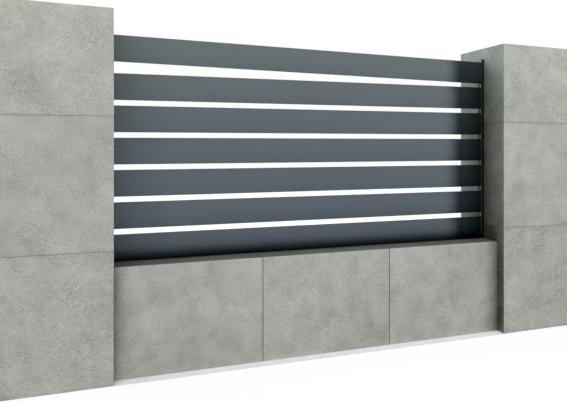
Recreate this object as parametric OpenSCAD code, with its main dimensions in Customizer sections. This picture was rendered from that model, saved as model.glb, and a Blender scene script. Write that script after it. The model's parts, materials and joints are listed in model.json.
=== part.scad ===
// Slat fence: concrete pillars, low block walls between them and aluminium slats above the walls.
// Millimetres. +X runs along the fence, -Y is its front and Z = 0 is the ground.
// The origin is on the ground at the middle of the fence.

/* [Bays] */
// Number of bays, each between two pillars
bay_count = 3; // [1:1:5]
// Clear width of a bay between its pillars
bay_w = 2000; // [1200:50:2600]
// Fall of the pillar tops and of the top slats towards +X, in degrees
fall = 0.9; // [0:0.1:1]

/* [Pillars] */
// Width of a pillar along the fence
pillar_w = 500; // [300:10:800]
// Depth of a pillar from front to back
pillar_d = 370; // [340:5:600]
// Height of each of the two lower blocks of a pillar
course_h = 569; // [400:1:620]
// Height of the pillar tops' line at the middle of the fence
pillar_h = 1579; // [1560:1:1900]
// Chamfer on the edges of the pillar blocks
pillar_edge = 3; // [1:0.5:10]

/* [Low wall] */
// Height of the low wall above the ground
wall_h = 490; // [300:5:500]
// Depth of the low wall, which stands on the pillars' centre line
wall_d = 276; // [150:2:320]
// Number of blocks in the low wall of a bay
block_count = 3; // [2:1:3]
// Open joint between two blocks
block_joint = 3; // [1:0.5:8]
// Chamfer on the edges of the blocks
block_edge = 2.5; // [1:0.5:6]
// Wider chamfer along the top front and top back edges of the blocks
block_bevel = 10; // [3:1:20]
// Thickness of the footing strip under the blocks
footing_t = 2; // [1:0.5:20]

/* [Slats] */
// Number of level slats in a bay, below the top slat
level_slats = 6; // [3:1:6]
// Height of a slat
slat_h = 121.5; // [90:0.5:122]
// Thickness of a slat at its middle
slat_t = 20; // [14:1:30]
// Thickness of a slat at its upper and lower edges
slat_edge_t = 4; // [4:0.5:8]
// Wall of the hollow slat
slat_wall = 1.8; // [1.4:0.1:1.9]
// Gap between two level slats
slat_gap = 24.6; // [10:0.2:26]
// Gap under the sloping top slat, at the middle of a bay
top_gap = 36.6; // [25:0.2:40]
// Distance from the pillars' front to the front of the slats
slat_setback = 160; // [140:1:170]

/* [Fixings] */
// Thickness of the flat fixing strip at the left end of the slats
strip_t = 2; // [2:0.5:6]
// Width along the fence of the end bar at the right end of the slats
bar_w = 18; // [10:1:40]
// Height of the fixing strip and the end bar above the top slat's ends
bar_rise = 16; // [5:1:30]
// Length of the spigots that hold the ends of the slats
spigot_l = 25; // [10:1:60]
// Clearance around a spigot inside its slat
spigot_gap = 0.3; // [0.1:0.1:0.5]

/* [Hidden] */
COURSES = ["base", "middle", "top"];
PILLARS = [1:bay_count + 1];
BAYS = [1:bay_count];
BLOCKS = [1:block_count];

CONCRETE = "#A7A8A1";
PALE_CONCRETE = "#DCDBD6";
SLAT_GREY = "#596163";
BAR_GREY = "#22282A";

bay_step = bay_w + pillar_w;
slat_y = slat_setback + slat_t / 2 - pillar_d / 2;
slat_pitch = slat_h + slat_gap;
level_top = wall_h + level_slats * slat_pitch - slat_gap;
top_slat_z = level_top + top_gap + slat_h / (2 * cos(fall));
slats_start = strip_t - bay_w / 2;
slats_end = bay_w / 2 - bar_w;
spigot_root = 1;
reach = bay_count * bay_step;
$fn = 256;

function pillar_x(p) = (p - 1 - bay_count / 2) * bay_step;
function bay_x(b) = (b - (bay_count + 1) / 2) * bay_step;
function pillar_top(x) = pillar_h - x * tan(fall);
function top_slat_top(x) = top_slat_z + slat_h / (2 * cos(fall)) - x * tan(fall);
function slat_z(k) = wall_h + slat_h / 2 + (k - 1) * slat_pitch;

// Rectangle with its corners cut off, by cut_low at the bottom and cut_high at the top
module cut_rectangle(x0, x1, y0, y1, cut_low, cut_high) {
    polygon([
        [x0, y0 + cut_low], [x0 + cut_low, y0], [x1 - cut_low, y0], [x1, y0 + cut_low],
        [x1, y1 - cut_high], [x1 - cut_high, y1], [x0 + cut_high, y1], [x0, y1 - cut_high]
    ]);
}

// Turns an outline drawn as X and Z into a prism from the front to the back
module along_y(d) {
    translate([0, d / 2, 0]) rotate([90, 0, 0]) linear_extrude(d) children();
}

// Turns an outline drawn as Y and Z into a prism along X, from x0 to x1
module along_x(x0, x1) {
    translate([x0, 0, 0]) rotate([90, 0, 90]) linear_extrude(x1 - x0) children();
}

// Box from z0 to z1 with all its edges cut; bevel is the cut along its top front and top back edges
module cut_box(x0, x1, d, z0, z1, edge, bevel) {
    intersection() {
        along_y(d) cut_rectangle(x0, x1, z0, z1, edge, edge);
        along_x(x0, x1) cut_rectangle(-d / 2, d / 2, z0, z1, edge, bevel);
        translate([0, 0, z0]) linear_extrude(z1 - z0)
            cut_rectangle(x0, x1, -d / 2, d / 2, edge, edge);
    }
}

module pillar_block(p, z0) {
    color(CONCRETE) translate([pillar_x(p), 0, 0])
        cut_box(-pillar_w / 2, pillar_w / 2, pillar_d, z0, z0 + course_h, pillar_edge, pillar_edge);
}

module pillar_base(p) {
    pillar_block(p, 0);
}

module pillar_middle(p) {
    pillar_block(p, course_h);
}

// Top block of a pillar, whose upper face lies on the falling line of the pillar tops
module pillar_top_block(p) {
    x0 = pillar_x(p) - pillar_w / 2;
    x1 = x0 + pillar_w;
    z0 = 2 * course_h;
    c = pillar_edge;
    color(CONCRETE) intersection() {
        along_y(pillar_d) polygon([
            [x0, z0 + c], [x0 + c, z0], [x1 - c, z0], [x1, z0 + c],
            [x1, pillar_top(x1) - c], [x1 - c, pillar_top(x1 - c)],
            [x0 + c, pillar_top(x0 + c)], [x0, pillar_top(x0) - c]
        ]);
        along_x(x0, x1) cut_rectangle(-pillar_d / 2, pillar_d / 2, z0, 2 * pillar_h, c, c);
        translate([0, 0, pillar_h]) rotate([0, fall, 0]) along_x(-reach, reach)
            cut_rectangle(-pillar_d / 2, pillar_d / 2, -pillar_h, 0, c, c);
        translate([0, 0, z0]) linear_extrude(pillar_h)
            cut_rectangle(x0, x1, -pillar_d / 2, pillar_d / 2, c, c);
    }
}

// Block n of the low wall in bay b, counted from the left
module wall_block(b, n) {
    block_w = (bay_w - (block_count - 1) * block_joint) / block_count;
    x0 = bay_x(b) - bay_w / 2 + (n - 1) * (block_w + block_joint);
    color(CONCRETE)
        cut_box(x0, x0 + block_w, wall_d, footing_t, wall_h, block_edge, block_bevel);
}

module footing(b) {
    color(PALE_CONCRETE) translate([bay_x(b) - bay_w / 2, -pillar_d / 2, 0])
        cube([bay_w, pillar_d, footing_t]);
}

// Lens-shaped section of a slat, drawn as Y and Z about its centre and set in by inset all round
module slat_section(inset) {
    rise = (slat_t - slat_edge_t) / 2;
    face_r = (pow(slat_h / 2, 2) + pow(rise, 2)) / (2 * rise);
    centre = face_r - slat_t / 2;
    intersection() {
        translate([centre, 0]) circle(face_r - inset);
        translate([-centre, 0]) circle(face_r - inset);
        square([slat_t, slat_h - 2 * inset], center = true);
    }
}

// Hollow slat from x0 to x1 in the frame of its own axis
module slat_tube(x0, x1) {
    along_x(x0, x1) difference() {
        slat_section(0);
        slat_section(slat_wall);
    }
}

module level_slats(b) {
    color(SLAT_GREY) for (k = [1:level_slats])
        translate([bay_x(b), slat_y, slat_z(k)]) slat_tube(slats_start, slats_end);
}

// Places what is drawn level in the sloping line of the top slat, cut off upright at x0 and x1
module on_top_slope(b, x0, x1) {
    translate([bay_x(b), slat_y, 0]) intersection() {
        translate([0, 0, top_slat_z]) rotate([0, fall, 0]) children();
        translate([x0, -slat_t, level_top]) cube([x1 - x0, 2 * slat_t, 2 * slat_h + top_gap]);
    }
}

module top_slat(b) {
    color(SLAT_GREY) on_top_slope(b, slats_start, slats_end) slat_tube(-bay_w, bay_w);
}

// Upright piece from x0 to x1, from the low wall to a little above the top slat's end at x_end
module upright(b, x0, x1, x_end) {
    top = top_slat_top(x_end) + bar_rise;
    translate([bay_x(b) + x0, slat_y - slat_t / 2, wall_h]) cube([x1 - x0, slat_t, top - wall_h]);
}

// Spigots between x0 and x1 that carry the ends of all the slats of bay b
module spigots(b, x0, x1) {
    for (k = [1:level_slats])
        translate([bay_x(b), slat_y, slat_z(k)])
            along_x(x0, x1) slat_section(slat_wall + spigot_gap);
    on_top_slope(b, x0, x1) along_x(-bay_w, bay_w) slat_section(slat_wall + spigot_gap);
}

module fixing_strip(b) {
    color(BAR_GREY) union() {
        upright(b, -bay_w / 2, slats_start, slats_start);
        spigots(b, slats_start - spigot_root, slats_start + spigot_l);
    }
}

module end_bar(b) {
    color(BAR_GREY) union() {
        upright(b, slats_end, bay_w / 2, slats_end);
        spigots(b, slats_end - spigot_l, slats_end + spigot_root);
    }
}

for (p = PILLARS) pillar_base(p);
for (p = PILLARS) pillar_middle(p);
for (p = PILLARS) pillar_top_block(p);
for (b = BAYS) for (n = BLOCKS)
    wall_block(b, n);
for (b = BAYS) footing(b);
for (b = BAYS) level_slats(b);
for (b = BAYS) top_slat(b);
for (b = BAYS) fixing_strip(b);
for (b = BAYS) end_bar(b);
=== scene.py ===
"""Finish of a slat fence: cast concrete pillars, low block walls and hollow aluminium slats.

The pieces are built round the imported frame, in metres. +X runs along the fence, -Y is its front
and Z = 0 is the ground. Each operator builds one group of pieces or the stage.
"""

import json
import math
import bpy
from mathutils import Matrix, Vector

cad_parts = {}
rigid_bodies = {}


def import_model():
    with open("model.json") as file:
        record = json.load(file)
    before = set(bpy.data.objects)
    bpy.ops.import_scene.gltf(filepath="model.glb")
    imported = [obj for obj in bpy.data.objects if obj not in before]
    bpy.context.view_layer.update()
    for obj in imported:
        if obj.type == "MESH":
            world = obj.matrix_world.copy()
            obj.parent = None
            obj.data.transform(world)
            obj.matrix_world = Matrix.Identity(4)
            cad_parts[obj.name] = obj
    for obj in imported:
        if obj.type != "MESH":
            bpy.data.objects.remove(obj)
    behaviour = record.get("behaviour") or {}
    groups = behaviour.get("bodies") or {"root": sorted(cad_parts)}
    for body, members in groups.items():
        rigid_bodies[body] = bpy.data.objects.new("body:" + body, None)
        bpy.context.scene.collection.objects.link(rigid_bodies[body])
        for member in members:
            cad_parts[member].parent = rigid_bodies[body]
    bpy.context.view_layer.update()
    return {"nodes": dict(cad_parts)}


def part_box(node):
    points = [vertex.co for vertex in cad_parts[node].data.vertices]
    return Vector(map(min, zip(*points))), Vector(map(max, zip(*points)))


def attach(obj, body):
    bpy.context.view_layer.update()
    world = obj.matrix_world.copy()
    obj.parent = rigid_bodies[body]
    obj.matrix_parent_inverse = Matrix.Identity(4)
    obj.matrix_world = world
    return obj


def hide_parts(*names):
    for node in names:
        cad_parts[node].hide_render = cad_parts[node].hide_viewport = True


bl_info = {
    "name": "Slat Fence",
    "version": (1, 0, 0),
    "blender": (4, 5, 0),
    "location": "View3D > Sidebar > Slat Fence",
    "description": "Builds the finished pieces of a slat fence with concrete pillars and low walls",
    "category": "Add Mesh",
}

import bpy
import numpy as np
from bpy.props import FloatProperty, FloatVectorProperty, IntProperty, PointerProperty
from mathutils import Vector, noise

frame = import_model()

BODY = "root"
COURSES = ("base", "middle", "top")
BAYS = range(1, 1 + sum(name.startswith("footing_") for name in frame["nodes"]))
PILLARS = range(1, len(BAYS) + 2)
BLOCKS = range(1, 1 + sum(name.startswith("wall_1_block_") for name in frame["nodes"]))
ARC_STEPS = 4  # mesh steps in a quarter turn of a rounded edge
END_ARRIS = 0.9  # rounding of a piece's ends as a share of the rounding of its long edges
FOOTING_EDGE = 0.4  # rounding of a footing's edges as a share of its thickness
FILLER_EDGE = 3  # width of a joint's filler over the rounding of its edges
SLAT_EDGE = 5  # thickness of a slat at its middle over that at its edges

# Unevenness and wear of the cast blocks: features for each metre, and how wear gathers on edges.
HOLLOW_SCALE = 7.0
NICK_SCALE = 38.0
NICK_SHARPNESS = 1.5
EDGE_GAIN = 4


# ---------------------------------------------------------------- settings


def length(name, description, default):
    return FloatProperty(
        name=name, description=description, default=default, min=0.0, unit="LENGTH", precision=4
    )


def angle(name, description, degrees):
    return FloatProperty(
        name=name, description=description, default=math.radians(degrees), subtype="ANGLE"
    )


def share(name, description, default):
    return FloatProperty(
        name=name, description=description, default=default, min=0.0, max=1.0, subtype="FACTOR"
    )


def level(name, description, default):
    return FloatProperty(name=name, description=description, default=default, min=0.0)


def colour(name, description, default):
    return FloatVectorProperty(
        name=name, description=description, default=default, min=0.0, max=1.0, subtype="COLOR"
    )


class FenceBlockSettings(bpy.types.PropertyGroup):
    """Shape of the cast concrete blocks."""

    arris: length("Arris", "Rounding radius of the edges of the blocks", 0.0012)
    top_round: length("Top edge", "Rounding radius of the low wall's top long edges", 0.0025)
    step: length("Mesh step", "Spacing of the mesh over the faces of a block", 0.022)
    wear: length("Edge wear", "Greatest depth to which the edges of the blocks are worn", 0.0009)
    hollow: length("Unevenness", "Greatest depth of the shallow hollows in the cast faces", 0.0005)
    filler_depth: length("Joint depth", "Distance from a wall's faces to its joint filler", 0.0025)


class FenceConcreteSettings(bpy.types.PropertyGroup):
    """Colours and grain of the concrete, and the shade and light painted into it."""

    pillar: colour("Pillars", "Mean colour of the pillars' concrete", (0.402, 0.404, 0.371))
    wall: colour("Low wall", "Mean colour of the low wall's concrete", (0.395, 0.397, 0.367))
    footing: colour("Footing", "Mean colour of the footing's screed", (0.85, 0.85, 0.84))
    filler: colour("Joint filler", "Colour of the filler in the wall's joints", (0.22, 0.22, 0.205))
    clouds: share("Clouds", "Strength of the broad pale and dark clouds", 0.48)
    mottle: share("Mottle", "Strength of the hand-sized mottling", 0.70)
    pillar_grain: level("Pillar grain", "Strength of the fine sandy grain of the pillars", 1.35)
    wall_grain: level("Wall grain", "Strength of the fine sandy grain of the low wall", 1.0)
    pores: share("Pores", "Darkening of the small pores", 0.14)
    bed_stain: share("Bed stain", "Darkening of the pillars along their bed joints", 0.08)
    # Each low wall block is made darker towards its foot.
    foot_darkening: share("Foot darkening", "Darkening of a low wall's block from its top to its foot", 0.13)
    # Painted light: the concrete is made paler towards the top.
    painted_top_light: share("Painted top light", "Paling with the fourth power of the height", 0.02)
    # Painted shade: the concrete darkens in its inner corners, in patches, less high up and on
    # level tops.
    corner_shade_tint: colour("Corner shade tint", "Tint of the pillars' painted corner shade", (0.97, 1.0, 0.80))
    corner_shade_fade: share("Corner shade fade", "Loss of the painted corner shade with the fourth power of the height", 0.14)
    top_shade_relief: share("Top shade relief", "Loss of the painted corner shade on the level tops", 0.45)
    pillar_corner_shade: level("Pillar corner shade", "How strongly the pillars' inner corners darken", 2.28)
    wall_corner_shade: level("Wall corner shade", "How strongly the low wall's inner corners darken", 1.3)
    corner_shade_reach: length("Corner shade reach", "Distance over which an inner corner darkens", 0.27)
    # Painted shade: the low wall's level top darkens, most in a line beside the slats.
    slat_shade_line: length("Slat shade line", "Reach of the dark line on the low wall at the slats", 0.030)
    algae: colour("Algae", "Colour of the film of algae on the low wall", (0.32, 0.40, 0.36))
    algae_cover: share("Algae cover", "How strongly the algae colour the low wall's top", 0.5)
    # Painted shade at the low wall's foot.
    wall_foot_shade: share("Wall foot shade", "Painted shade darkening the low wall at its foot", 0.14)
    wall_foot_shade_reach: length("Wall foot shade reach", "Height to which the painted shade at the foot reaches", 0.12)
    # Painted shade on the low wall's level top.
    top_shade: share("Top shade", "Painted shade darkening the low wall's level top", 0.55)


class FenceMetalSettings(bpy.types.PropertyGroup):
    """Shape and paint of the aluminium pieces, and the shade painted into the paint."""

    slats: IntProperty(name="Level slats", description="Level slats in a bay", default=6, min=1)
    slat_height: length("Slat height", "Height of a slat", 0.1215)
    arc_steps: IntProperty(
        name="Arc steps", description="Mesh steps round a slat's face", default=16, min=4
    )
    end_round: length("End rounding", "Rounding of the sawn ends of the slats", 0.0006)
    bar_arris: length("Bar edges", "Rounding radius of the edges of the end bars", 0.0012)
    strip_arris: length("Strip edges", "Rounding radius of the edges of the fixing strips", 0.0005)
    slat_paint: colour("Slat paint", "Colour of the upper slats' coating", (0.124, 0.146, 0.152))
    # Painted shade: the slats' coating turns darker towards the low wall.
    low_shaded_paint: colour("Low shaded paint", "Colour of the lowest slats' coating, darkened by painted shade", (0.089, 0.109, 0.127))
    # The end bars' near-black colour is partly their coating and partly painted shade.
    bar_paint: colour("Bar paint and shade", "Colour of the end bars' coating, darkened by painted shade", (0.009, 0.016, 0.016))
    rubber: colour("Rubber", "Colour of the spacers between the slats' ends", (0.016, 0.018, 0.018))
    spacer_radius: length("Spacer radius", "Radius of a spacer tube", 0.0042)
    spacer_place: length("Spacer place", "Distance from an end bar to a spacer's axis", 0.0085)
    # Painted shade in the slats' inner corners, stronger low down, and a painted dark foot on the
    # lowest slat.
    corner_shade: level("Corner shade", "How strongly the slats darken in the reveal of the pillars", 0.72)
    foot_corner_shade: level("Foot corner shade", "Added strength of the painted corner shade on the lowest slats", 0.6)
    foot_shade: length("Foot shade", "Height of the dark foot of the lowest slat", 0.068)
    end_shade: share("End shade", "Darkening of the slats' paint beside the end bar", 0.62)
    end_reach: share("End reach", "Share of a slat's length that this darkening covers", 0.096)
    end_relief: share("End relief", "Share of this darkening that the top slat is without", 0.8)


class FenceStageSettings(bpy.types.PropertyGroup):
    """Camera, lamps and floor."""

    eye: FloatVectorProperty(
        name="Eye", description="Place of the camera", default=(-1.0213, -2.5448, 1.0195),
        subtype="TRANSLATION",
    )
    turn: angle("Turn", "Turn of the level camera to the right of the fence's normal", 18.15)
    lens: FloatProperty(name="Lens", description="Focal length in millimetres", default=33.89)
    drop: FloatProperty(
        name="Drop", description="Shift of the picture below the horizon", default=-0.0999
    )
    sun_side: angle("Sun side", "Turn of the concrete's low sun towards +X", 58.0)
    slat_sun_side: angle("Slat sun side", "Turn of the metal's low sun towards +X", 51.5)
    sun_height: angle("Sun height", "Height of the low sun above the horizon", 1.0)
    sun_width: angle("Sun width", "Width of the low sun on the concrete", 40.0)
    slat_sun_width: angle("Slat sun width", "Width of the low sun on the metal", 13.0)
    sun_power: level("Sun power", "Strength of the low sun on the concrete", 2.08)
    sun_tint: colour("Sun tint", "Colour of the low sun on the concrete", (1.0, 1.0, 0.97))
    slat_sun_power: level("Slat sun power", "Strength of the low sun on the metal", 4.34)
    fill_side: angle("Fill side", "Turn of the wide fill towards +X", 8.0)
    fill_height: angle("Fill height", "Height of the middle of the wide fill", 15.0)
    fill_width: angle("Fill width", "Width of the wide fill", 65.0)
    fill_power: level("Fill power", "Strength of the wide fill on the concrete", 1.68)
    steep_height: angle("Steep height", "Height of the steep fill on the footing", 50.0)
    steep_power: level("Steep power", "Strength of the steep fill on the footing", 1.52)
    sky_side: angle("Sky side", "Turn of the bright sky behind the fence towards -X", 50.0)
    sky_height: angle("Sky height", "Height of the middle of the bright sky", 55.0)
    sky_width: angle("Sky width", "Width of the bright sky", 100.0)
    sky_power: level("Sky power", "Strength of the bright sky", 3.4)
    sky_tint: colour("Sky tint", "Colour of the bright sky", (0.90, 0.975, 1.0))
    air: colour("Air", "Colour of the dim light from all sides", (0.92, 1.0, 1.0))
    air_level: level("Air level", "Strength of the dim light from all sides", 0.095)
    floor_reach: length("Floor reach", "Radius of the floor", 16.0)
    floor_tone: share("Floor tone", "Share of the light that the floor sends back", 0.24)
    floor_glow: level("Floor glow", "Light added to the floor where it shows", 0.855)


class SlatFenceSettings(bpy.types.PropertyGroup):
    """All settings of the fence."""

    blocks: PointerProperty(type=FenceBlockSettings)
    concrete: PointerProperty(type=FenceConcreteSettings)
    metal: PointerProperty(type=FenceMetalSettings)
    stage: PointerProperty(type=FenceStageSettings)


def settings():
    return bpy.context.scene.slat_fence


def wall_top():
    """Height of the low walls' level tops."""
    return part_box("wall_1_block_1")[1].z


# ---------------------------------------------------------------- shaders


class Signal:
    """Output of a shader node. Arithmetic on it adds Math nodes to the same tree."""

    def __init__(self, tree, socket):
        self.tree = tree
        self.socket = socket

    def math(self, operation, *values):
        return self.tree.add("Math", {"operation": operation}, dict(enumerate(values)))

    def __add__(self, other):
        return self.math("ADD", self, other)

    def __sub__(self, other):
        return self.math("SUBTRACT", self, other)

    def __rsub__(self, other):
        return self.math("SUBTRACT", other, self)

    def __mul__(self, other):
        return self.math("MULTIPLY", self, other)

    def __truediv__(self, other):
        return self.math("DIVIDE", self, other)

    def __pow__(self, other):
        return self.math("POWER", self, other)

    __radd__ = __add__
    __rmul__ = __mul__

    def larger(self, other):
        return self.math("MAXIMUM", self, other)

    def size(self):
        return self.math("ABSOLUTE", self)

    def rise(self, low, high):
        """Smooth step from 0 at low to 1 at high."""
        return self.tree.add(
            "MapRange", {"interpolation_type": "SMOOTHSTEP"}, {0: self, 1: low, 2: high}
        )


class Tree:
    """Empty node tree of a material or a world."""

    def __init__(self, owner):
        owner.use_nodes = True
        self.nodes = owner.node_tree.nodes
        self.links = owner.node_tree.links
        self.nodes.clear()

    def add(self, kind, choices=None, inputs=None, output=0):
        """Adds a node, makes its choices, feeds its inputs and returns one output."""
        node = self.nodes.new("ShaderNode" + kind)
        for name, value in (choices or {}).items():
            setattr(node, name, value)
        for name, value in (inputs or {}).items():
            if isinstance(value, Signal):
                self.links.new(value.socket, node.inputs[name])
            else:
                node.inputs[name].default_value = value
        return Signal(self, node.outputs[output] if node.outputs else None)

    def blend(self, factor, first, second):
        """Mix of two colours."""
        return self.add("Mix", {"data_type": "RGBA"}, {0: factor, 6: first, 7: second}, output=2)

    def toned(self, mean, tone, darkest, palest):
        """Mean colour scaled from darkest, at a tone of -0.5, to palest, at a tone of 0.5."""
        return self.blend(tone + 0.5, rgba(mean, darkest), rgba(mean, palest))

    def dimmed(self, colour, factor):
        """Colour scaled by a factor."""
        return self.add("VectorMath", {"operation": "SCALE"}, {0: colour, "Scale": factor})

    def part(self, vector, axis):
        """X, Y or Z of a vector."""
        return self.add("SeparateXYZ", None, {0: vector}, axis)

    def open_air(self, reach):
        """1 on open faces, falling to about a half in an inner corner."""
        return self.add("AmbientOcclusion", {"samples": 8}, {"Distance": reach}, "AO")

    def noise(self, at, scale, detail=2.0, roughness=0.5, distortion=0.0):
        """Noise from about 0 to 1 with a mean of a half."""
        inputs = {
            "Vector": at, "Scale": scale, "Detail": detail,
            "Roughness": roughness, "Distortion": distortion,
        }
        return self.add("TexNoise", None, inputs)

    def stretched(self, at, size):
        """Coordinates scaled by a size along each axis."""
        return self.add("Mapping", None, {"Vector": at, "Scale": size})

    def shade(self, inputs):
        """Ends a material in a Principled shader."""
        surface = self.add("BsdfPrincipled", None, inputs)
        self.add("OutputMaterial", None, {"Surface": surface})


def rgba(three, factor=1.0):
    """Colour with its fourth part, scaled by a factor."""
    return (*(min(1.0, part * factor) for part in three), 1.0)


WHITE = (1.0, 1.0, 1.0)

# Features for each metre of the materials' noises.
CLOUD_SCALE = 3.4
MOTTLE_SCALE = 11.0
PIT_SCALE = 9.0
SAND_SCALE = 140.0
PORE_SCALE = 62.0
PATCH_SCALE = 8.0
SCREED_CLOUD_SCALE = 6.0
SCREED_SAND_SCALE = 240.0
COAT_SCALE = 900.0
ELASTIC_SCALE = 160.0

# How the concrete's noises are laid and where they set in.
BLOCK_SHIFT = (31.0, 17.0, 23.0)  # most that the pattern moves from block to block, in metres
SAND_STRETCH = (0.8, 0.8, 1.2)
PITTED = (0.42, 0.62)  # noise between which a patch turns pitted
PORE_RIM = (0.10, 0.30)  # distances from a pore's middle between which it fades, in cells
PATCHY_SHADE = (0.3, 0.7)  # noise between which a patch of the painted corner shade turns stronger
BED_JOINT = (0.468, 0.5)  # distances from a block's middle between which its beds darken
LEVEL_FACE = (0.92, 0.998)  # upward part of the normal between which a face counts as level
HEIGHT_POWER = 4.0  # power of the height with which the concrete pales as painted light and its painted corner shade fades

# How much of each noise shows in the relief, and how much the roughness varies.
SAND_RELIEF = 0.5
MOTTLE_RELIEF = 0.6
PORE_RELIEF = 0.3
ROUGHNESS_SPREAD = 0.2

# Tone left in the painted shade: in its darkest line beside the slats, and at the foot of the
# lowest slat.
SLAT_SHADE_LINE_TONE = 0.08
FOOT_TONE = 0.07

# Powder coating: its uneven film and its fine grain.
FILM_STRETCH = (1.2, 8.0, 8.0)
FILM_STRENGTH = 0.12
COAT_STRENGTH = 0.07
CORNER_SHADE_HEIGHT = 0.2  # height above the low wall over which the added painted corner shade fades out
PAINT_POWER = 1.5  # power of the height with which the painted shade of the low paint fades up the fence
TOP_SLAT_FOOT = (0.85, 0.90)  # heights above the low wall, below and above the top slat's foot
END_POWER = 2.0  # power with which the slats darken towards their ends


def concrete(name, mean, corner_shade, grain, slat_shade_line_y=None):
    """Cast concrete: soft clouds, pitted patches, sandy grain and pores, with painted shade in its
    inner corners and painted light that pales it towards the top.

    With slat_shade_line_y it is the low wall's, with an algae tint and painted shade on its level
    top and painted shade at its foot. Without, it is the pillars', with stains along their bed
    joints.
    """
    look = settings().concrete
    material = bpy.data.materials.new(name)
    tree = Tree(material)
    place = tree.add("TexCoord", None, None, "Object")
    in_block = tree.part(tree.add("TexCoord", None, None, "Generated"), "Z")
    draw = tree.add("ObjectInfo", None, None, "Random")
    away = tree.add("CombineXYZ", None, {i: draw * most for i, most in enumerate(BLOCK_SHIFT)})
    at = tree.add("VectorMath", {"operation": "ADD"}, {0: place, 1: away})

    broad = tree.noise(at, CLOUD_SCALE, detail=3.0, roughness=0.55, distortion=0.4) - 0.5
    mottle = tree.noise(at, MOTTLE_SCALE, detail=5.0, roughness=0.6, distortion=0.5) - 0.5
    pitted = tree.noise(at, PIT_SCALE, detail=3.0, roughness=0.6).rise(*PITTED)
    sand_at = tree.stretched(at, SAND_STRETCH)
    sand = tree.noise(sand_at, SAND_SCALE, detail=3.0, roughness=0.75) - 0.5
    pore = tree.add("TexVoronoi", None, {"Vector": at, "Scale": PORE_SCALE}).rise(*PORE_RIM)
    pore = (1 - pore) * pitted

    sandiness = 0.6 + pitted * 0.6
    tone = broad * look.clouds + mottle * look.mottle + sand * sandiness * grain
    tone = tone - pore * look.pores
    if slat_shade_line_y is None:
        tone = tone - (in_block - 0.5).size().rise(*BED_JOINT) * look.bed_stain
    else:
        # Each low wall block turns darker towards its foot.
        tone = tone + (in_block - 0.5) * look.foot_darkening
    # Painted light: the concrete pales towards the top.
    high_up = tree.part(place, "Z").larger(0.0) ** HEIGHT_POWER
    tone = tone + high_up * look.painted_top_light
    base = tree.toned(mean, tone, darkest=0.5, palest=1.5)

    # Painted shade: the colour darkens in inner corners with the occlusion, in patches, less high
    # up and on level tops.
    shade_patches = tree.noise(at, PATCH_SCALE, detail=3.0, roughness=0.6).rise(*PATCHY_SHADE)
    shade_power = (0.75 + shade_patches * 0.5) * (1 - high_up * look.corner_shade_fade) * corner_shade
    normal = tree.add("NewGeometry", None, None, "Normal")
    top = tree.part(normal, "Z").rise(*LEVEL_FACE)
    shade = tree.open_air(look.corner_shade_reach) ** (shade_power * (1 - top * look.top_shade_relief))
    if slat_shade_line_y is None:
        # The pillars' painted corner shade is also tinted.
        tint = tree.blend(1 - shade, rgba(WHITE), rgba(look.corner_shade_tint))
        base = tree.add("VectorMath", {"operation": "MULTIPLY"}, {0: base, 1: tint})
    else:
        base = tree.blend(top * look.algae_cover, base, rgba(look.algae))
        # Painted shade on the level top, darkest in a line beside the slats.
        beside = (tree.part(place, "Y") - slat_shade_line_y).size() / look.slat_shade_line
        shade_line_tone = SLAT_SHADE_LINE_TONE + beside.rise(0.0, 1.0) * (1 - SLAT_SHADE_LINE_TONE)
        shade = shade * (1 - top * (1 - shade_line_tone * (1 - look.top_shade)))
        # Painted shade at the low wall's foot.
        near_foot = 1 - tree.part(place, "Z").rise(0.0, look.wall_foot_shade_reach)
        shade = shade * (1 - near_foot * look.wall_foot_shade)
    height = sand * SAND_RELIEF + mottle * MOTTLE_RELIEF - pore * PORE_RELIEF
    relief = tree.add("Bump", None, {"Strength": 0.6, "Distance": 0.0016, "Height": height})
    tree.shade({
        "Base Color": tree.dimmed(base, shade), "Roughness": 0.86 + mottle * ROUGHNESS_SPREAD,
        "Normal": relief, "Specular IOR Level": 0.25,
    })
    return material


def screed(name, mean):
    """Pale floated screed."""
    material = bpy.data.materials.new(name)
    tree = Tree(material)
    at = tree.add("TexCoord", None, None, "Object")
    cloud = tree.noise(at, SCREED_CLOUD_SCALE, detail=4.0, roughness=0.6) - 0.5
    sand = tree.noise(at, SCREED_SAND_SCALE, detail=2.0, roughness=0.6) - 0.5
    base = tree.toned(mean, cloud * 1.4 + sand * 0.8, darkest=0.88, palest=1.1)
    relief = tree.add("Bump", None, {"Strength": 0.5, "Distance": 0.0006, "Height": sand + cloud})
    tree.shade({
        "Base Color": base, "Roughness": 0.85 + cloud * ROUGHNESS_SPREAD, "Normal": relief,
    })
    return material


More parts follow.
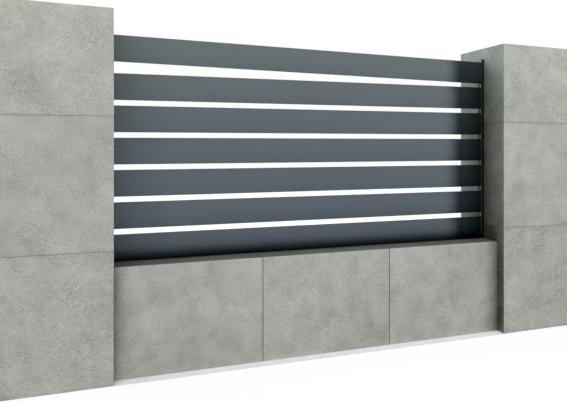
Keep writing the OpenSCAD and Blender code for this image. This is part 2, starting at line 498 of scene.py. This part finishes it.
def powder_coat(name, low, high, roughness, gloss, end_shade=0.0):
    """Fine-textured powder coating on extruded aluminium, with painted shade in inner corners and a
    painted dark foot above the low wall.

    The colour turns from low, darkened as painted shade, to high up the fence. end_shade darkens
    the ends towards +X.
    """
    look = settings().metal
    material = bpy.data.materials.new(name)
    tree = Tree(material)
    at = tree.add("TexCoord", None, None, "Object")
    fine = tree.noise(at, COAT_SCALE, detail=2.0, roughness=0.6) - 0.5
    film = tree.noise(tree.stretched(at, FILM_STRETCH), 1.0, detail=3.0, roughness=0.5) - 0.5
    height = (tree.part(at, "Z") - wall_top()).larger(0.0)
    # Painted shade: the colour darkens from the upper slats' paint towards the low wall.
    base = tree.blend(height**PAINT_POWER, rgba(low), rgba(high))
    # Painted shade in inner corners, stronger on the lowest slats, and a dark foot on the lowest
    # slat.
    shade_power = (1 + (1 - height.rise(0.0, CORNER_SHADE_HEIGHT)) * look.foot_corner_shade) * look.corner_shade
    shade = tree.open_air(settings().concrete.corner_shade_reach) ** shade_power
    shade = shade * (FOOT_TONE + height.rise(0.0, look.foot_shade) * (1 - FOOT_TONE))
    shade = shade * (1 + film * FILM_STRENGTH + fine * COAT_STRENGTH)
    if end_shade:
        along = tree.part(tree.add("TexCoord", None, None, "Generated"), "X")
        near_end = along.rise(1 - look.end_reach, 1.0) ** END_POWER
        below_top = 1 - height.rise(*TOP_SLAT_FOOT) * look.end_relief
        shade = shade * (1 - near_end * below_top * end_shade)
    relief = tree.add("Bump", None, {"Strength": 0.35, "Distance": 0.0002, "Height": fine})
    tree.shade({
        "Base Color": tree.dimmed(base, shade), "Roughness": roughness + film * FILM_STRENGTH,
        "Normal": relief, "Specular IOR Level": gloss,
    })
    return material


def elastic(name, mean):
    """Dull elastic filler or rubber."""
    material = bpy.data.materials.new(name)
    tree = Tree(material)
    at = tree.add("TexCoord", None, None, "Object")
    fine = tree.noise(at, ELASTIC_SCALE, detail=3.0, roughness=0.6) - 0.5
    base = tree.toned(mean, fine, darkest=0.7, palest=1.3)
    relief = tree.add("Bump", None, {"Strength": 0.5, "Distance": 0.001, "Height": fine})
    tree.shade({
        "Base Color": base, "Roughness": 0.8 + fine * ROUGHNESS_SPREAD, "Normal": relief,
    })
    return material


# ---------------------------------------------------------------- meshes


def spaced(start, end, step):
    """Values from start to end, evenly spaced at about step."""
    count = max(1, round((end - start) / step))
    return [start + (end - start) * i / count for i in range(count + 1)]


def arc(centre, radius, first, last, steps):
    """Points with their outward normals along an arc; the angles are in degrees."""
    points = []
    for i in range(steps + 1):
        turn = math.radians(first + (last - first) * i / steps)
        normal = (math.cos(turn), math.sin(turn))
        points.append((centre[0] + radius * normal[0], centre[1] + radius * normal[1], *normal))
    return points


def filled(outline, step):
    """The closed outline with more points where two of its points are over a step apart."""
    points = []
    for point, after in zip(outline, outline[1:] + outline[:1]):
        gap = math.dist(point[:2], after[:2])
        for share_of_gap in spaced(0.0, 1.0, step / max(gap, step))[:-1]:
            points.append(tuple(a + (b - a) * share_of_gap for a, b in zip(point, after)))
    return points


def rounded(a0, a1, b0, b1, low, high, step):
    """Rectangle with corners rounded by low at b0 and by high at b1, run anticlockwise."""
    outline = arc((a0 + low, b0 + low), low, 180, 270, ARC_STEPS)
    outline += arc((a1 - low, b0 + low), low, 270, 360, ARC_STEPS)
    outline += arc((a1 - high, b1 - high), high, 0, 90, ARC_STEPS)
    outline += arc((a0 + high, b1 - high), high, 90, 180, ARC_STEPS)
    return filled(outline, step)


def rounded_run(start, end, radius, step):
    """Stations of a sweep with rounded ends: place, inset of the outline and lean of the normal."""
    head, tail = [], []
    for i in range(ARC_STEPS):
        turn = math.radians(90 * i / ARC_STEPS)
        lean = math.cos(turn)
        inset = radius - radius * math.sin(turn)
        head.append((start + radius - radius * lean, inset, -lean))
        tail.append((end - radius + radius * lean, inset, lean))
    middle = [(place, 0.0, 0.0) for place in spaced(start + radius, end - radius, step)]
    return head + middle + tail[::-1]


def sweep(outline, stations, lay):
    """Vertices and normals of an outline carried along its stations.

    lay turns the outline's two coordinates and the place of the station into X, Y and Z.
    """
    outline = np.array(outline)
    places, normals = [], []
    for place, inset, lean in stations:
        ring = outline[:, :2] - outline[:, 2:] * inset
        sideways = outline[:, 2:] * math.sqrt(1 - lean * lean)
        places.append(lay(ring[:, 0], ring[:, 1], np.full(len(ring), place)))
        normals.append(lay(sideways[:, 0], sideways[:, 1], np.full(len(ring), lean)))
    return np.array(places), np.array(normals)


def along_x(a, b, s):
    return np.stack([s, a, b], axis=-1)


def along_z(a, b, s):
    return np.stack([a, b, s], axis=-1)


def piece(name, places, material, nodes):
    """Adds the closed mesh through a sweep's rings as a piece that stands for the named nodes."""
    rings, around = places.shape[:2]
    faces = []
    for ring in range(rings - 1):
        for i in range(around):
            after = (i + 1) % around
            faces.append((
                ring * around + i, ring * around + after,
                (ring + 1) * around + after, (ring + 1) * around + i,
            ))
    faces.append(tuple(reversed(range(around))))
    faces.append(tuple(range((rings - 1) * around, rings * around)))
    mesh = bpy.data.meshes.new(name)
    mesh.from_pydata(places.reshape(-1, 3).tolist(), [], faces)
    mesh.shade_smooth()
    mesh.materials.append(material)
    made = bpy.data.objects.new(name, mesh)
    bpy.context.scene.collection.objects.link(made)
    made.modifiers.new("Face normals", "WEIGHTED_NORMAL")
    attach(made, BODY)
    if nodes:
        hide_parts(*nodes)
    return made


def worn(places, normals):
    """Moves cast faces in by shallow hollows, and their edges by wear, both from smooth noise."""
    shape = settings().blocks
    on_edge = 1 - np.abs(normals).max(axis=-1)
    moved = places.reshape(-1, 3).copy()
    flat_normals = normals.reshape(-1, 3)
    for i, (spot, edge) in enumerate(zip(moved.copy(), on_edge.ravel())):
        hollow = noise.noise(Vector(spot) * HOLLOW_SCALE) * 0.5 + 0.5
        nick = max(0.0, noise.noise(Vector(spot) * NICK_SCALE)) ** NICK_SHARPNESS
        depth = shape.hollow * hollow + shape.wear * nick * min(1.0, edge * EDGE_GAIN)
        moved[i] -= flat_normals[i] * depth
    return moved.reshape(places.shape)


# ---------------------------------------------------------------- concrete pieces


def fall_of_tops():
    """Rise of the pillars' tops for each metre along +X, which is below zero."""
    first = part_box(f"pillar_{PILLARS[0]}_top")[1]
    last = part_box(f"pillar_{PILLARS[-1]}_top")[1]
    return (last.z - first.z) / (last.x - first.x)


class FENCE_OT_pillars(bpy.types.Operator):
    """Cast the blocks of all pillars, the top ones with their sloping heads"""

    bl_idname = "fence.pillars"
    bl_label = "Pillars"

    def execute(self, context):
        shape = settings().blocks
        look = settings().concrete
        material = concrete("Pillar concrete", look.pillar, look.pillar_corner_shade, look.pillar_grain)
        slope = fall_of_tops()
        for pillar in PILLARS:
            for course in COURSES:
                node = f"pillar_{pillar}_{course}"
                low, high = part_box(node)
                outline = rounded(
                    low.x, high.x, low.y, high.y, shape.arris, shape.arris, shape.step
                )
                stations = rounded_run(low.z, high.z, shape.arris * END_ARRIS, shape.step)
                places, normals = sweep(outline, stations, along_z)
                if course == "top":
                    rise = (places[..., 2] - low.z) / (high.z - low.z)
                    places[..., 2] += rise * slope * (places[..., 0] - low.x)
                piece("cast_" + node, worn(places, normals), material, [node])
        return {"FINISHED"}


class FENCE_OT_walls(bpy.types.Operator):
    """Cast the blocks of the low walls, with softly rounded top edges"""

    bl_idname = "fence.walls"
    bl_label = "Low walls"

    def execute(self, context):
        shape = settings().blocks
        look = settings().concrete
        low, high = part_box("level_slats_1")
        slat_y = (low.y + high.y) / 2
        material = concrete("Wall concrete", look.wall, look.wall_corner_shade, look.wall_grain, slat_y)
        for bay in BAYS:
            for block in BLOCKS:
                node = f"wall_{bay}_block_{block}"
                low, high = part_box(node)
                outline = rounded(
                    low.y, high.y, low.z, high.z, shape.arris, shape.top_round, shape.step
                )
                stations = rounded_run(low.x, high.x, shape.arris * END_ARRIS, shape.step)
                places, normals = sweep(outline, stations, along_x)
                piece("cast_" + node, worn(places, normals), material, [node])
        return {"FINISHED"}


class FENCE_OT_joints(bpy.types.Operator):
    """Fill the upright joints between the blocks of the low walls"""

    bl_idname = "fence.joints"
    bl_label = "Joint fillers"

    def execute(self, context):
        shape = settings().blocks
        material = elastic("Joint filler", settings().concrete.filler)
        for bay in BAYS:
            for block in BLOCKS[:-1]:
                low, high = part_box(f"wall_{bay}_block_{block}")
                start = high.x
                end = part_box(f"wall_{bay}_block_{block + 1}")[0].x
                inset = shape.filler_depth
                edge = (end - start) / FILLER_EDGE
                outline = rounded(
                    start, end, low.y + inset, high.y - inset, edge, edge, shape.step
                )
                stations = rounded_run(low.z, high.z - inset, edge * END_ARRIS, shape.step)
                places, _ = sweep(outline, stations, along_z)
                piece(f"joint_{bay}_{block}", places, material, [])
        return {"FINISHED"}


class FENCE_OT_footings(bpy.types.Operator):
    """Float the pale footing strips under the low walls"""

    bl_idname = "fence.footings"
    bl_label = "Footings"

    def execute(self, context):
        shape = settings().blocks
        material = screed("Footing screed", settings().concrete.footing)
        for bay in BAYS:
            node = f"footing_{bay}"
            low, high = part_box(node)
            edge = (high.z - low.z) * FOOTING_EDGE
            outline = rounded(low.y, high.y, low.z, high.z, edge, edge, shape.step)
            stations = rounded_run(low.x, high.x, edge * END_ARRIS, shape.step)
            places, _ = sweep(outline, stations, along_x)
            floated = piece("floated_" + node, places, material, [node])
            floated.visible_shadow = False  # so that it adds no painted corner shade to the feet of the blocks
        return {"FINISHED"}


# ---------------------------------------------------------------- metal pieces


def slat_outline(height, thickness, edge, steps):
    """Lens-shaped section of a slat about its centre: two wide faces and two round edges."""
    rise = (thickness - edge) / 2
    face_radius = ((height / 2) ** 2 + rise**2) / (2 * rise)
    centre = face_radius - thickness / 2
    tip = (face_radius**2 - centre**2 - height**2 / 4) / (2 * face_radius - height)
    lean = math.degrees(math.atan2(height / 2 - tip, centre))
    outline = arc((-centre, 0.0), face_radius, -lean, lean, steps)
    outline += arc((0.0, height / 2 - tip), tip, lean, 180 - lean, 2 * ARC_STEPS)[1:]
    outline += arc((centre, 0.0), face_radius, 180 - lean, 180 + lean, steps)[1:]
    outline += arc((0.0, tip - height / 2), tip, 180 + lean, 360 - lean, 2 * ARC_STEPS)[1:-1]
    return outline


def slat_pitch(low, high):
    """Rise from one level slat to the next in the box from low to high."""
    shape = settings().metal
    return (high.z - low.z - shape.slat_height) / (shape.slats - 1)


def slat(name, low, high, middle_y, middle_z, slope, material, node):
    """Slat from low.x to high.x whose middle lies at middle_z where x is low.x."""
    shape = settings().metal
    thickness = high.y - low.y
    edge = thickness / SLAT_EDGE
    outline = slat_outline(shape.slat_height, thickness, edge, shape.arc_steps)
    stations = rounded_run(low.x, high.x, shape.end_round, high.x - low.x)
    places, _ = sweep(outline, stations, along_x)
    places[..., 1] += middle_y
    places[..., 2] += middle_z + slope * (places[..., 0] - low.x)
    piece(name, places, material, [node])


class FENCE_OT_slats(bpy.types.Operator):
    """Extrude the level slats and the sloping top slat of each bay"""

    bl_idname = "fence.slats"
    bl_label = "Slats"

    def execute(self, context):
        shape = settings().metal
        material = powder_coat(
            "Slat paint", shape.low_shaded_paint, shape.slat_paint, roughness=0.65, gloss=0.03,
            end_shade=shape.end_shade,
        )
        slope = fall_of_tops()
        half = shape.slat_height / 2
        for bay in BAYS:
            node = f"level_slats_{bay}"
            low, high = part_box(node)
            middle_y = (low.y + high.y) / 2
            pitch = slat_pitch(low, high)
            for number in range(shape.slats):
                middle_z = low.z + half + number * pitch
                slat(f"slat_{bay}_{number + 1}", low, high, middle_y, middle_z, 0.0, material, node)
            node = f"top_slat_{bay}"
            low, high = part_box(node)
            slat(f"slat_{bay}_top", low, high, middle_y, high.z - half, slope, material, node)
        return {"FINISHED"}


def upright(name, low, high, arris, material, node):
    """Flat-ended upright piece with rounded edges that fills the box from low to high."""
    outline = rounded(low.x, high.x, low.y, high.y, arris, arris, high.y - low.y)
    stations = rounded_run(low.z, high.z, arris * END_ARRIS, high.z - low.z)
    places, _ = sweep(outline, stations, along_z)
    piece(name, places, material, [node])


class FENCE_OT_bars(bpy.types.Operator):
    """Stand the end bars and the thin fixing strips at the ends of the slats"""

    bl_idname = "fence.bars"
    bl_label = "End bars and strips"

    def execute(self, context):
        shape = settings().metal
        # The end bars' near-black colour is partly their coating and partly painted shade.
        material = powder_coat(
            "Bar paint and shade", shape.bar_paint, shape.bar_paint, roughness=0.15, gloss=1.0
        )
        for bay in BAYS:
            slats_low, slats_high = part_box(f"level_slats_{bay}")
            low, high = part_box(f"end_bar_{bay}")
            low.x = slats_high.x
            upright(f"bar_{bay}", low, high, shape.bar_arris, material, f"end_bar_{bay}")
            low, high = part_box(f"fixing_strip_{bay}")
            high.x = slats_low.x
            upright(f"strip_{bay}", low, high, shape.strip_arris, material, f"fixing_strip_{bay}")
        return {"FINISHED"}


class FENCE_OT_spacers(bpy.types.Operator):
    """Set the spacer tubes that keep the slats' ends apart beside each end bar"""

    bl_idname = "fence.spacers"
    bl_label = "Spacers"

    def execute(self, context):
        shape = settings().metal
        material = elastic("Spacer rubber", shape.rubber)
        slope = fall_of_tops()
        for bay in BAYS:
            low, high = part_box(f"level_slats_{bay}")
            top_low, top_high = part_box(f"top_slat_{bay}")
            pitch = slat_pitch(low, high)
            axis = (high.x - shape.spacer_place, (low.y + high.y) / 2)
            outline = arc(axis, shape.spacer_radius, 0, 360, shape.arc_steps)[:-1]
            top_foot = top_high.z - shape.slat_height + slope * (axis[0] - top_low.x)
            for number in range(1, shape.slats + 1):
                foot = low.z + (number - 1) * pitch + shape.slat_height
                head = low.z + number * pitch if number < shape.slats else top_foot
                stations = rounded_run(foot, head, shape.strip_arris, head - foot)
                places, _ = sweep(outline, stations, along_z)
                piece(f"spacer_{bay}_{number}", places, material, [])
        return {"FINISHED"}


# ---------------------------------------------------------------- stage


LAMP_DISTANCE = 10
FLOOR_SIDES = 96


def lamp(name, side, height, width, power, tint, paints=()):
    """Far lamp in the direction given by its side angle from -Y towards +X and its height.

    Given paints, it lights only the pieces in these materials.
    """
    data = bpy.data.lights.new(name, "SUN")
    data.energy = power
    data.angle = width
    data.color = tint
    made = bpy.data.objects.new(name, data)
    towards = Vector((
        math.sin(side) * math.cos(height), -math.cos(side) * math.cos(height), math.sin(height)
    ))
    made.rotation_euler = towards.to_track_quat("Z", "Y").to_euler()
    made.location = towards * LAMP_DISTANCE
    bpy.context.scene.collection.objects.link(made)
    if paints:
        lit = bpy.data.collections.new(name)
        for lit_piece in bpy.context.scene.objects:
            if lit_piece.type == "MESH" and lit_piece.data.materials[:1]:
                if lit_piece.data.materials[0].name in paints:
                    lit.objects.link(lit_piece)
        made.light_linking.receiver_collection = lit


def shown_white(tree):
    """1 for the rays that show the white surroundings: seen, mirrored or refracted."""
    is_camera = tree.add("LightPath", None, None, "Is Camera Ray")
    is_glossy = tree.add("LightPath", None, None, "Is Glossy Ray")
    is_transmission = tree.add("LightPath", None, None, "Is Transmission Ray")
    return is_camera.larger(is_glossy).larger(is_transmission)


class FENCE_OT_stage(bpy.types.Operator):
    """Set the camera, the lamps, the white surroundings and the floor"""

    bl_idname = "fence.stage"
    bl_label = "Stage"

    def execute(self, context):
        stage = settings().stage
        scene = context.scene
        scene.view_settings.view_transform = "Standard"
        # Linked lamps in the light tree come out a little brighter in some runs than in others.
        scene.cycles.use_light_tree = False

        lens = bpy.data.cameras.new("Camera")
        lens.lens = stage.lens
        lens.shift_y = stage.drop
        camera = bpy.data.objects.new("Camera", lens)
        camera.location = stage.eye
        camera.rotation_euler = (math.radians(90), 0.0, -stage.turn)
        scene.collection.objects.link(camera)
        scene.camera = camera

        cast = ("Pillar concrete", "Wall concrete", "Joint filler")
        metal = ("Slat paint", "Bar paint and shade", "Spacer rubber")
        lamp(
            "Low sun on concrete", stage.sun_side, stage.sun_height, stage.sun_width,
            stage.sun_power, stage.sun_tint, cast,
        )
        lamp(
            "Low sun on metal", stage.slat_sun_side, stage.sun_height, stage.slat_sun_width,
            stage.slat_sun_power, WHITE, metal,
        )
        lamp(
            "Fill", stage.fill_side, stage.fill_height, stage.fill_width,
            stage.fill_power, WHITE, cast,
        )
        lamp(
            "Footing fill", 0.0, stage.steep_height, stage.fill_width,
            stage.steep_power, WHITE, ("Footing screed",),
        )
        lamp(
            "Bright sky", math.pi + stage.sky_side, stage.sky_height, stage.sky_width,
            stage.sky_power, stage.sky_tint,
        )

        world = bpy.data.worlds.new("Surroundings")
        scene.world = world
        tree = Tree(world)
        dim = tree.add("Background", None, {"Color": rgba(stage.air), "Strength": stage.air_level})
        white = tree.add("Background", None, {"Color": rgba(WHITE), "Strength": 1.0})
        seen = tree.add("MixShader", None, {0: shown_white(tree), 1: dim, 2: white})
        tree.add("OutputWorld", None, {"Surface": seen})

        material = bpy.data.materials.new("Floor")
        tree = Tree(material)
        lit = tree.add("BsdfDiffuse", None, {"Color": rgba(WHITE, stage.floor_tone)})
        glow = tree.add("Emission", None, {"Color": rgba(WHITE), "Strength": stage.floor_glow})
        shown = tree.add("AddShader", None, {0: lit, 1: glow})
        seen = tree.add("MixShader", None, {0: shown_white(tree), 1: lit, 2: shown})
        tree.add("OutputMaterial", None, {"Surface": seen})

        rim = arc((0.0, 0.0), stage.floor_reach, 0, 360, FLOOR_SIDES)[:-1]
        mesh = bpy.data.meshes.new("Floor")
        mesh.from_pydata([(x, y, 0.0) for x, y, *_ in rim], [], [tuple(range(len(rim)))])
        mesh.materials.append(material)
        floor = bpy.data.objects.new("Floor", mesh)
        floor.visible_shadow = False
        scene.collection.objects.link(floor)
        return {"FINISHED"}


# ---------------------------------------------------------------- panel and registration


PIECES = (
    FENCE_OT_pillars,
    FENCE_OT_walls,
    FENCE_OT_joints,
    FENCE_OT_footings,
    FENCE_OT_slats,
    FENCE_OT_bars,
    FENCE_OT_spacers,
    FENCE_OT_stage,
)


class FENCE_PT_panel(bpy.types.Panel):
    """Sidebar panel that lists the settings and the operators of the fence"""

    bl_idname = "FENCE_PT_panel"
    bl_label = "Slat Fence"
    bl_space_type = "VIEW_3D"
    bl_region_type = "UI"
    bl_category = "Slat Fence"

    def draw(self, context):
        for group_name in ("blocks", "concrete", "metal", "stage"):
            group = getattr(context.scene.slat_fence, group_name)
            box = self.layout.box()
            for name in group.__annotations__:
                box.prop(group, name)
        for operator in PIECES:
            self.layout.operator(operator.bl_idname)


CLASSES = (
    FenceBlockSettings,
    FenceConcreteSettings,
    FenceMetalSettings,
    FenceStageSettings,
    SlatFenceSettings,
    *PIECES,
    FENCE_PT_panel,
)


def register():
    for cls in CLASSES:
        bpy.utils.register_class(cls)
    bpy.types.Scene.slat_fence = PointerProperty(type=SlatFenceSettings)


def unregister():
    del bpy.types.Scene.slat_fence
    for cls in reversed(CLASSES):
        bpy.utils.unregister_class(cls)


def main():
    register()
    bpy.ops.fence.pillars()
    bpy.ops.fence.walls()
    bpy.ops.fence.joints()
    bpy.ops.fence.footings()
    bpy.ops.fence.slats()
    bpy.ops.fence.bars()
    bpy.ops.fence.spacers()
    bpy.ops.fence.stage()


if __name__ == "__main__":
    main()
